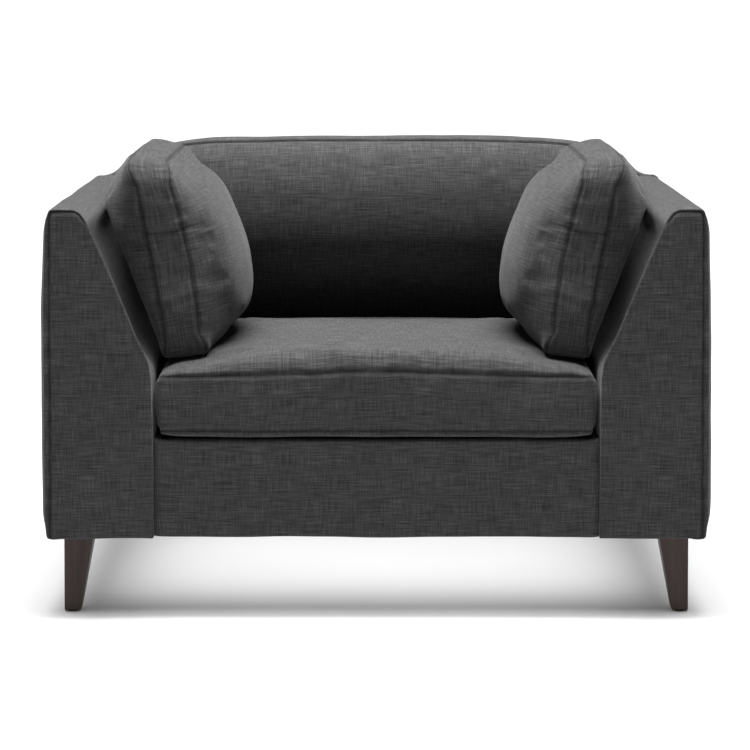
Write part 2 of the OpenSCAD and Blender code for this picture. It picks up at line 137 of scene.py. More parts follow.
# ---------------------------------------------------------------- meshes
class Cloth:
    """Grids of points in metres that are welded into one mesh."""

    def __init__(self, name):
        self.name, self.V, self.F, self.UV = name, [], [], []
        self.n = 0

    def grid(self, P, U, V, wrap=False, flip=False):
        """P has shape (rows, columns, 3); U and V are the cloth's own measures in metres."""
        r, c = P.shape[:2]
        U, V = np.broadcast_to(U, (r, c)), np.broadcast_to(V, (r, c))
        idx = self.n + np.arange(r * c).reshape(r, c)
        self.V.append(P.reshape(-1, 3))
        self.UV.append(np.stack([U, V], -1).reshape(-1, 2))
        a, b, d, e = idx[:-1, :-1], idx[:-1, 1:], idx[1:, 1:], idx[1:, :-1]
        q = np.stack([a, b, d, e], -1).reshape(-1, 4)
        if flip:
            q = q[:, ::-1]
        self.F.append(q)
        self.n += r * c
        return self

    def build(self, weld=2e-5, mirror=False):
        V, F, UV = np.vstack(self.V), np.vstack(self.F), np.vstack(self.UV)
        if mirror:
            V = V * [-1, 1, 1]
            F = F[:, ::-1]
        me = bpy.data.meshes.new(self.name)
        me.from_pydata(V.tolist(), [], F.tolist())
        uv = me.uv_layers.new(name="cloth")
        loops = np.zeros(len(me.loops), int)
        me.loops.foreach_get("vertex_index", loops)
        uv.data.foreach_set("uv", UV[loops].ravel().astype(np.float32))
        bm = bmesh.new()
        bm.from_mesh(me)
        bmesh.ops.remove_doubles(bm, verts=bm.verts, dist=weld)
        bmesh.ops.dissolve_degenerate(bm, dist=1e-6, edges=bm.edges)
        bmesh.ops.recalc_face_normals(bm, faces=bm.faces)
        bm.normal_update()
        mid = sum((f.calc_center_median() for f in bm.faces), Vector()) / len(bm.faces)
        if sum((f.calc_center_median() - mid).dot(f.normal) * f.calc_area() for f in bm.faces) < 0:
            bmesh.ops.reverse_faces(bm, faces=bm.faces)
        bm.to_mesh(me)
        bm.free()
        me.polygons.foreach_set("use_smooth", [True] * len(me.polygons))
        me.update()
        o = bpy.data.objects.new(self.name, me)
        scene.collection.objects.link(o)
        return o


def coords(o):
    a = np.zeros(len(o.data.vertices) * 3)
    o.data.vertices.foreach_get("co", a)
    return a.reshape(-1, 3)


def set_coords(o, P):
    o.data.vertices.foreach_set("co", np.ascontiguousarray(P).ravel())
    o.data.update()


def normals(o):
    a = np.zeros(len(o.data.vertices) * 3)
    o.data.vertices.foreach_get("normal", a)
    return a.reshape(-1, 3)


def near(P, lines, cut=0.03):
    """Each point's distance to the nearest of the lines, and how far along the line that is."""
    best = np.full(len(P), 9.0)
    along = np.zeros(len(P))
    s0 = 0
    for L in lines:
        L = resample(np.array(L, float), step=0.002)
        lo, hi = L.min(0) - cut, L.max(0) + cut
        ids = np.nonzero(((P >= lo) & (P <= hi)).all(1))[0]
        for k in range(0, len(ids), 4000):
            j = ids[k:k + 4000]
            d = np.linalg.norm(P[j][:, None, :] - L[None], axis=2)
            m = d.argmin(1)
            dm = d[np.arange(len(j)), m]
            better = dm < best[j]
            best[j[better]] = dm[better]
            along[j[better]] = s0 + m[better] * 0.002
        s0 += len(L) * 0.002 + 0.37
    return best, along


def attribute(o, name, values):
    a = o.data.attributes.get(name) or o.data.attributes.new(name, "FLOAT", "POINT")
    a.data.foreach_set("value", np.asarray(values, np.float32))


def sew(o, lines, depth=2.4, width=2.2, puff=0.9, gather=0.5, seed=1, lumps=0.9, lump_size=0.11, limit=None, field=None):
    """Presses seams into the cloth, with small gathers beside them, and gives the surface its slight unevenness."""
    P, N = coords(o), normals(o)
    d, s = field if field is not None else near(P, lines) if lines else (np.full(len(P), 9.0), np.zeros(len(P)))
    w = waves(P, seed, lump_size) * lumps + waves(P, seed + 5, 0.04) * lumps * 0.22
    g = np.sin(s * 2 * math.pi / 0.019 + 1.7 * np.sin(s * 31.0)) * np.sin(s * 2 * math.pi / 0.143 + seed)
    move = (-depth * np.exp(-(d * 1000 / width) ** 2) + puff * np.exp(-((d * 1000 - 7) / 6) ** 2)
            + gather * g * np.exp(-((d * 1000 - 9) / 9) ** 2) + w * (1 - 0.6 * np.exp(-(d * 1000 / 12) ** 2)))
    if limit is not None:
        move = move * limit(P)
    set_coords(o, P + N * (move * MM)[:, None])
    # seam mask: the fabric material uses it to paint shade into the seam grooves
    attribute(o, "seam", np.exp(-(d * 1000 / 1.9) ** 2))
    return o


def subdivide(o, levels=1):
    m = o.modifiers.new("smooth", "SUBSURF")
    m.levels = m.render_levels = levels
    return o


def apply_modifiers(o):
    dg = bpy.context.evaluated_depsgraph_get()
    me = bpy.data.meshes.new_from_object(o.evaluated_get(dg))
    old = o.data
    o.modifiers.clear()
    o.data = me
    bpy.data.meshes.remove(old)


def inflate(o, seam, frames=14, pressure=3.0, cap=0.008, shrink=0.03, keep=None):
    """Runs the cloth with air pressure inside, then takes a capped part of its movement."""
    P0 = coords(o)
    g = o.vertex_groups.new(name="seam")
    for i in np.nonzero(seam > 0.05)[0]:
        g.add([int(i)], float(min(1, seam[i])), "REPLACE")
    c = o.modifiers.new("Cloth", "CLOTH")
    s = c.settings
    s.quality = 5
    s.mass = 0.25
    s.tension_stiffness = s.compression_stiffness = 18
    s.shear_stiffness = 8
    s.bending_stiffness = 0.35
    s.use_pressure = True
    s.uniform_pressure_force = pressure
    s.vertex_group_shrink = "seam"
    s.shrink_min = -0.012
    s.shrink_max = shrink
    s.effector_weights.gravity = 0
    c.collision_settings.use_collision = False
    c.collision_settings.use_self_collision = False
    c.point_cache.frame_start = 1
    c.point_cache.frame_end = frames
    for f in range(1, frames + 1):
        scene.frame_set(f)
    dg = bpy.context.evaluated_depsgraph_get()
    e = o.evaluated_get(dg)
    Q = np.zeros(len(e.data.vertices) * 3)
    e.data.vertices.foreach_get("co", Q)
    Q = Q.reshape(-1, 3)
    o.modifiers.remove(c)
    o.vertex_groups.clear()
    scene.frame_set(1)
    D = Q - P0
    D -= D.mean(0)
    m = np.linalg.norm(D, axis=1)
    D *= (np.tanh(m / cap) * cap / np.maximum(m, 1e-9))[:, None]
    if keep is not None:
        D *= keep(P0)[:, None]
    set_coords(o, P0 + D)


# ---------------------------------------------------------------- materials
class Nodes:
    def __init__(self, name):
        self.m = bpy.data.materials.new(name)
        self.m.use_nodes = True
        self.t = self.m.node_tree
        self.t.nodes.clear()
        self.out = self.add("ShaderNodeOutputMaterial")
        self.b = self.add("ShaderNodeBsdfPrincipled")
        self.link(self.b.outputs[0], self.out.inputs[0])

    def add(self, kind, **kw):
        n = self.t.nodes.new(kind)
        for k, v in kw.items():
            setattr(n, k, v)
        return n

    def link(self, a, b):
        self.t.links.new(a, b)

    def math(self, op, a, b=None, c=None, clamp=False):
        n = self.add("ShaderNodeMath", operation=op, use_clamp=clamp)
        for i, v in enumerate((a, b, c)):
            if v is None:
                continue
            if isinstance(v, (int, float)):
                n.inputs[i].default_value = v
            else:
                self.link(v, n.inputs[i])
        return n.outputs[0]

    def scaled(self, vec, x, y, z):
        n = self.add("ShaderNodeMapping")
        n.inputs["Scale"].default_value = (x, y, z)
        self.link(vec, n.inputs["Vector"])
        return n.outputs[0]

    def noise(self, vec, scale=1.0, detail=2.0, rough=0.5, distortion=0.0):
        n = self.add("ShaderNodeTexNoise")
        n.inputs["Scale"].default_value = scale
        n.inputs["Detail"].default_value = detail
        n.inputs["Roughness"].default_value = rough
        n.inputs["Distortion"].default_value = distortion
        self.link(vec, n.inputs["Vector"])
        return n.outputs[0]

    def ramp(self, fac, stops):
        n = self.add("ShaderNodeValToRGB")
        e = n.color_ramp.elements
        while len(e) < len(stops):
            e.new(0.5)
        for k, (p, c) in enumerate(stops):
            e[k].position = p
            e[k].color = (*c, 1)
        self.link(fac, n.inputs[0])
        return n.outputs[0]

    def mix(self, fac, a, b, kind="MIX"):
        n = self.add("ShaderNodeMix", data_type="RGBA", blend_type=kind)
        if isinstance(fac, (int, float)):
            n.inputs[0].default_value = fac
        else:
            self.link(fac, n.inputs[0])
        for v, i in ((a, 6), (b, 7)):
            if isinstance(v, tuple):
                n.inputs[i].default_value = (*v, 1)
            else:
                self.link(v, n.inputs[i])
        return n.outputs[2]

    def bump(self, height, strength, distance, normal=None):
        n = self.add("ShaderNodeBump")
        n.inputs["Strength"].default_value = strength
        n.inputs["Distance"].default_value = distance
        self.link(height, n.inputs["Height"])
        if normal is not None:
            self.link(normal, n.inputs["Normal"])
        return n.outputs[0]


FABRIC = dict(dark=0.022, mid=0.050, light=0.115)


def fabric_material(name, gain=1.0):
    """Heathered flat weave: slubbed threads both ways, in charcoal greys, with painted shade darkening the seam
    grooves.
    """
    n = Nodes(name)
    uv = n.add("ShaderNodeUVMap", uv_map="cloth").outputs[0]
    obj = n.add("ShaderNodeTexCoord").outputs["Object"]
    # threads: long streaks each way, at two thicknesses
    weft = n.noise(n.scaled(uv, 30, 900, 1), 1, 3, 0.6, 0.2)
    warp = n.noise(n.scaled(uv, 900, 34, 1), 1, 3, 0.6, 0.2)
    weft2 = n.noise(n.scaled(uv, 19, 430, 1), 1, 2, 0.55, 0.25)
    warp2 = n.noise(n.scaled(uv, 430, 22, 1), 1, 2, 0.55, 0.25)
    sep = n.add("ShaderNodeSeparateXYZ")
    n.link(uv, sep.inputs[0])
    k = 2 * math.pi / 0.0032
    sx = n.math("SINE", n.math("MULTIPLY", sep.outputs[0], k))
    sy = n.math("SINE", n.math("MULTIPLY", sep.outputs[1], k))
    over = n.math("MULTIPLY_ADD", n.math("MULTIPLY", sx, sy), 0.5, 0.5)      # which thread is on top
    thread = n.math("ADD", n.math("MULTIPLY", over, weft), n.math("MULTIPLY", n.math("SUBTRACT", 1.0, over), warp))
    slub = n.math("MULTIPLY_ADD", n.math("SUBTRACT", weft2, 0.5), 0.56, n.math("MULTIPLY", n.math("SUBTRACT", warp2, 0.5), 0.40))
    tone = n.math("ADD", n.math("MULTIPLY", n.math("SUBTRACT", thread, 0.5), 0.8), n.math("ADD", slub, 0.5))
    broad = n.noise(obj, 7, 2, 0.5)
    tone = n.math("ADD", tone, n.math("MULTIPLY", n.math("SUBTRACT", broad, 0.5), 0.06))
    g = gain
    col = n.ramp(tone, [(0.30, (0.020 * g, 0.0200 * g, 0.0200 * g)), (0.43, (0.034 * g, 0.0340 * g, 0.0341 * g)),
                        (0.50, (0.043 * g, 0.0430 * g, 0.0431 * g)), (0.57, (0.055 * g, 0.0550 * g, 0.0551 * g)),
                        (0.72, (0.088 * g, 0.0880 * g, 0.0881 * g))])
    # painted shade: along the seam grooves the colour is darkened towards near-black by the seam mask
    seam = n.add("ShaderNodeAttribute", attribute_name="seam").outputs["Fac"]
    col = n.mix(n.math("MULTIPLY", seam, 0.80, clamp=True), col, (0.004, 0.004, 0.0045))
    n.link(col, n.b.inputs["Base Color"])
    # relief of the weave and its slubs
    h = n.math("ADD", n.math("MULTIPLY", n.math("MULTIPLY", sx, sy), 0.35),
               n.math("ADD", n.math("MULTIPLY", thread, 1.6), n.math("MULTIPLY", slub, 1.6)))
    b1 = n.bump(h, 0.55, 0.0007)
    b2 = n.bump(n.noise(obj, 24, 3, 0.55), 0.12, 0.004, b1)
    n.link(b2, n.b.inputs["Normal"])
    n.link(n.math("MULTIPLY_ADD", slub, -0.25, 0.93), n.b.inputs["Roughness"])
    n.b.inputs["Specular IOR Level"].default_value = 0.12
    n.b.inputs["Sheen Weight"].default_value = 0.10
    n.b.inputs["Sheen Roughness"].default_value = 0.45
    n.b.inputs["Sheen Tint"].default_value = (0.9, 0.9, 0.9, 1)
    return n.m


def plain_cloth(name, color, scale=900, rough=0.95, relief=0.0004):
    n = Nodes(name)
    obj = n.add("ShaderNodeTexCoord").outputs["Object"]
    f = n.noise(obj, scale, 2, 0.6)
    f2 = n.noise(obj, 30, 3, 0.6)
    t = n.math("ADD", n.math("MULTIPLY", f, 0.7), n.math("MULTIPLY", f2, 0.3))
    d = tuple(c * 0.55 for c in color)
    l = tuple(min(1, c * 1.5) for c in color)
    n.link(n.ramp(t, [(0.3, d), (0.7, l)]), n.b.inputs["Base Color"])
    n.link(n.bump(f, 0.6, relief), n.b.inputs["Normal"])
    n.link(n.math("MULTIPLY_ADD", f2, 0.08, rough - 0.06), n.b.inputs["Roughness"])
    n.b.inputs["Specular IOR Level"].default_value = 0.15
    n.b.inputs["Sheen Weight"].default_value = 0.1
    return n.m


def wood_material(name, dark, light, along="Z", gloss=0.42, scale=1.0, coat=0.0):
    n = Nodes(name)
    obj = n.add("ShaderNodeTexCoord").outputs["Object"]
    s = {"X": (1.4, 24, 24), "Y": (24, 1.4, 24), "Z": (24, 24, 1.4)}[along]
    v = n.scaled(obj, *(a * scale for a in s))
    rings = n.noise(v, 2.2, 4, 0.6, 1.2)
    pores = n.noise(n.scaled(obj, *(a * scale * 14 for a in s)), 2.0, 2, 0.5)
    t = n.math("ADD", n.math("MULTIPLY", rings, 0.75), n.math("MULTIPLY", pores, 0.25))
    n.link(n.ramp(t, [(0.3, dark), (0.52, tuple((a + b) / 2 for a, b in zip(dark, light))), (0.72, light)]), n.b.inputs["Base Color"])
    n.link(n.math("MULTIPLY_ADD", pores, 0.22, gloss - 0.1), n.b.inputs["Roughness"])
    n.link(n.bump(t, 0.25, 0.0006), n.b.inputs["Normal"])
    n.b.inputs["Specular IOR Level"].default_value = 0.16
    n.b.inputs["Coat Weight"].default_value = coat
    n.b.inputs["Coat Roughness"].default_value = 0.3
    return n.m


def metal_material(name, color, rough=0.35, scale=180):
    n = Nodes(name)
    obj = n.add("ShaderNodeTexCoord").outputs["Object"]
    f = n.noise(obj, scale, 3, 0.6)
    n.link(n.ramp(f, [(0.3, tuple(c * 0.75 for c in color)), (0.7, color)]), n.b.inputs["Base Color"])
    n.b.inputs["Metallic"].default_value = 1.0
    n.link(n.math("MULTIPLY_ADD", f, 0.2, rough - 0.1), n.b.inputs["Roughness"])
    n.link(n.bump(f, 0.15, 0.0002), n.b.inputs["Normal"])
    return n.m


def zip_material(name):
    n = Nodes(name)
    obj = n.add("ShaderNodeTexCoord").outputs["Object"]
    f = n.noise(obj, 700, 2, 0.6)
    n.link(n.ramp(f, [(0.3, (0.012, 0.012, 0.013)), (0.7, (0.035, 0.035, 0.037))]), n.b.inputs["Base Color"])
    w = n.add("ShaderNodeTexWave", wave_type="BANDS", bands_direction="DIAGONAL")
    w.inputs["Scale"].default_value = 160
    n.link(obj, w.inputs["Vector"])
    n.link(n.bump(w.outputs[1], 0.7, 0.0006), n.b.inputs["Normal"])
    n.b.inputs["Roughness"].default_value = 0.6
    return n.m


fabric = fabric_material("charcoal_weave", 0.79)
leg_wood = wood_material("dark_stained_wood", (0.0225, 0.0155, 0.0138), (0.0525, 0.035, 0.0305), "Z", 0.46, 1.0, 0.0)
timber = wood_material("sawn_timber", (0.42, 0.29, 0.17), (0.66, 0.50, 0.33), "X", 0.7)
ply = wood_material("board", (0.30, 0.20, 0.115), (0.50, 0.36, 0.22), "Z", 0.75, 0.7)
foam = plain_cloth("foam", (0.72, 0.66, 0.48), 500, 0.97, 0.0006)
felt = plain_cloth("deck_felt", (0.020, 0.020, 0.022), 700, 0.96, 0.0004)
dust = plain_cloth("dust_cloth", (0.010, 0.010, 0.011), 1400, 0.9, 0.0003)
webbing = plain_cloth("webbing", (0.03, 0.03, 0.033), 900, 0.85, 0.0005)
steel = metal_material("spring_steel", (0.34, 0.35, 0.37), 0.38)
zinc = metal_material("zinc_steel", (0.62, 0.61, 0.57), 0.32)
nickel = metal_material("black_nickel", (0.12, 0.12, 0.125), 0.30)
nylon = plain_cloth("black_nylon", (0.016, 0.015, 0.015), 300, 0.5, 0.0001)
zip_tape = zip_material("zip_tape")

BY_SLOT = {"charcoal_fabric": fabric, "dark_wood": leg_wood, "frame_timber": timber, "panel_board": ply, "foam": foam,
           "deck_felt": felt, "webbing": webbing, "dust_cloth": dust, "spring_steel": steel, "zinc_steel": zinc,
           "glide_plastic": nylon, "zip_tape": zip_tape, "zip_metal": nickel}
for part in frame["record"]["subparts"]:
    node = frame["nodes"][part["node"]]
    node.data.materials.clear()
    node.data.materials.append(BY_SLOT[part["material_slot"]])


def piece(o, body, material, nodes=()):
    o.data.materials.clear()
    o.data.materials.append(material)
    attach(o, body)
    if nodes:
        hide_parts(*nodes)
    return o


# ---------------------------------------------------------------- sizes, in mm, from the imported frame
arm_lo, arm_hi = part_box("right_arm_cover")
back_lo, back_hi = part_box("back_cover")
seat_lo, seat_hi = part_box("seat_cushion_cover")
rail_lo, rail_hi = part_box("border_cover")
YF = arm_lo[1] * 1000            # front of the arms
BY = arm_hi[1] * 1000            # rear end of the arms
HW = arm_hi[0] * 1000            # outer face
SI = arm_lo[0] * 1000            # inner face
Z0 = arm_lo[2] * 1000
AH = arm_hi[2] * 1000            # arm top
BH = back_hi[2] * 1000           # back top
YR = back_hi[1] * 1000
ZS = seat_hi[2] * 1000 - 6       # seat cushion's top at its sides
ZD = seat_lo[2] * 1000           # deck
BULGE = 15.0
ZB = Z0 - 3                      # the hem hangs a little below the frame
SIDE = HW - 18.4                 # the front panel's outer seam, half-way up


def taper(z):
    """The sides lean in very slightly towards the top."""
    return 6.0 * (0.5 - (z - Z0) / (AH - Z0)) * 2


bulge_at = curve([0, 3, 8, 15, 30, 60, 110, 180, 430, 500, 540, 563, 572, 580, 600],
                 [0.32, 0.42, 0.52, 0.65, 0.74, 0.80, 0.87, 0.97, 1.0, 0.96, 0.92, 0.82, 0.70, 0.55, 0.25])


def side_bulge(z, top):
    """How far the side stands out: little at its top, then full, and drawn in at the hem."""
    return BULGE * bulge_at(np.clip((top - z) * (AH - Z0) / (top - Z0), 0, 600))


# ---------------------------------------------------------------- arms
def make_arm(sign):
    left_key = [(SI + 1, ZB), (SI + 1, Z0 + 60), (SI + 1, Z0 + 180), (SI + 1, ZS - 45), (SI + 2, ZS - 15), (SI + 8, ZS + 16),
                (SI + 27, ZS + 58), (SI + 61, ZS + 143), (SI + 91, ZS + 214), (SI + 107, ZS + 252), (SI + 117, AH - 12), (SI + 125, AH - 2)]
    left = catmull(left_key, 96)
    top = catmull([left[-1], (SI + 135, AH + 2), (SI + 150, AH + 3), (SIDE - 18, AH + 3), (SIDE - 9, AH + 1.5)], 26)
    zr = np.linspace(ZB, AH - 2.5, 96)
    right = np.stack([SIDE + taper(zr), zr], 1)
    right[-1] = (SIDE - 3 + taper(AH), AH + 1.5)
    right[-2][0] -= 0.8
    top[-1] = right[-1]
    ring = np.vstack([left, top[1:], right[::-1][1:]])          # from the inner foot, over the top, to the outer foot
    nl, nt = len(left), len(top)
    # outward normals of the outline
    t = np.gradient(ring, axis=0)
    nrm = np.stack([-t[:, 1], t[:, 0]], 1)
    nrm /= np.linalg.norm(nrm, axis=1)[:, None]
    k = np.arange(len(ring))
    # how softly the front edge rolls over: soft along the inner slope, tight at the sewn edges
    soft = 3.0 + 0.8 * sstep(ZS - 8, ZS + 80, ring[:, 1]) * (1 - sstep(nl - 10, nl - 1, k)) * (k < nl)
    zz = ring[:, 1]
    outer = sstep(nl + nt - 6, nl + nt + 4, k)
    rows, us = [], []
    phi = np.linspace(0, math.pi / 2, 8)
    for p in phi:
        pos = ring - nrm * (soft * (1 - math.sin(p)))[:, None]
        y = YF + soft * (1 - math.cos(p))
        rows.append((pos, y))
    yl = np.concatenate([[22, 26, 31, 38, 47, 58, 70], np.linspace(84, BY - YF + 6, 44)])
    for d in yl:
        rows.append((ring.copy(), YF + np.full(len(ring), float(d))))
    P = np.zeros((len(rows), len(ring), 3))
    for i, (pos, y) in enumerate(rows):
        g = np.sqrt(1 - (1 - np.clip((y - YF) / 24, 0, 1)) ** 2)
        bul = side_bulge(zz, AH) * outer * g
        P[i, :, 0] = pos[:, 0] + bul
        P[i, :, 1] = y
        # the top and the slope are slightly crowned
        crown = 2.2 * np.sin(np.clip((k - nl + 4) / (nt + 2), 0, 1) * math.pi) * sstep(0, 60, y - YF)
        # the inner slope is drawn in just behind its front edge and fills out again towards the rear
        on = sstep(ZS - 30, ZS + 60, zz) * (1 - sstep(AH - 60, AH - 12, zz)) * (k < nl)
        slope = -on * (26.0 * sstep(1, 15, y - YF) - 19.0 * sstep(280, 450, y - YF))
        P[i, :, 2] = pos[:, 1] + crown + slope * 0.4
        P[i, :, 0] -= slope * 0.9
    s = np.concatenate([[0], np.cumsum(np.linalg.norm(np.diff(ring, axis=0), axis=1))])
    c = Cloth("left_arm" if sign < 0 else "right_arm")
    V = (s[None, :] + 0 * P[:, :, 0]) * MM
    U = P[:, :, 1] * MM
    cut = nl + nt - 2
    a = nl - 8
    # the weave of the front panel runs on over its soft inner edge
    c.grid(P[:11, :a + 1] * MM, P[:11, :a + 1, 0] * MM + 1.3, P[:11, :a + 1, 2] * MM, flip=True)
    c.grid(P[10:, :a + 1] * MM, U[10:, :a + 1], V[10:, :a + 1], flip=True)
    c.grid(P[:, a:cut + 1] * MM, U[:, a:cut + 1], V[:, a:cut + 1], flip=True)
    c.grid(P[:, cut:] * MM, U[:, cut:] + 0.37, P[:, cut:, 2] * MM, flip=True)
    # front panel, framed by the first row
    L = P[0, :nl][:, [0, 2]]
    T = P[0, nl - 1:nl + nt - 1][:, [0, 2]]
    R = P[0, nl + nt - 2:][::-1][:, [0, 2]]
    B = np.stack([np.linspace(L[0, 0], R[0, 0], nt), np.linspace(L[0, 1], R[0, 1], nt)], 1)
    G = coons(L, R, B, T)
    u = (G[:, :, 0] - G[:, :1, 0]) / (G[:, -1:, 0] - G[:, :1, 0])
    v = ((G[:, :, 1] - Z0) / (AH - Z0)).clip(0, 1)
    puff = 3.2 * np.where(u > 0.5, np.clip(1 - (2 * u - 1) ** 4, 0, 1), sstep(0, 0.5, u)) * np.clip(1 - (2 * v - 1) ** 8, 0, 1)
    Y = np.full(G.shape[:2], YF) - puff
    c.grid(np.stack([G[:, :, 0], Y, G[:, :, 1]], -1) * MM, G[:, :, 0] * MM + 1.3, G[:, :, 1] * MM, flip=False)
    # the rear end is closed, inside the back's cover
    L, T = P[-1, :nl][:, [0, 2]], P[-1, nl - 1:nl + nt - 1][:, [0, 2]]
    R = P[-1, nl + nt - 2:][::-1][:, [0, 2]]
    foot = np.stack([np.linspace(L[0, 0], R[0, 0], nt), np.linspace(L[0, 1], R[0, 1], nt)], 1)
    G = coons(L, R, foot, T)
    c.grid(np.stack([G[:, :, 0], np.full(G.shape[:2], P[-1, 0, 1] - 0.8), G[:, :, 1]], -1) * MM, G[:, :, 0] * MM, G[:, :, 1] * MM, flip=True)
    # hem under the body
    F = P[:, [-1]]
    hem = np.concatenate([F, F + [-6, 0, -2.5], F + [-22, 0, -1]], 1)
    c.grid(hem * MM, hem[:, :, 1] * MM, hem[:, :, 0] * MM, flip=True)
    bot = np.stack([B[:, 0], np.full(nt, YF), B[:, 1]], 1)
    hem = np.stack([bot, bot + [0, 5, -3], bot + [0, 18, -2]], 0)
    c.grid(hem * MM, hem[:, :, 0] * MM, hem[:, :, 1] * MM)
    o = c.build(mirror=sign < 0)
    m = np.array([sign, 1, 1])
    edge = np.vstack([P[0, nl - 4:]]) * MM * m
    lines = [edge]
    closing = P[9:, cut + 1] * MM * m
    lines.append(closing)
    sew(o, lines, depth=2.6, width=2.4, puff=1.0, gather=0.35, seed=3, lumps=0.8)
    return piece(o, "frame", fabric,
                 ["left_arm_cover", "left_arm_padding"] if sign < 0 else ["right_arm_cover", "right_arm_padding"])


for sgn in (-1, 1):
    subdivide(make_arm(sgn))


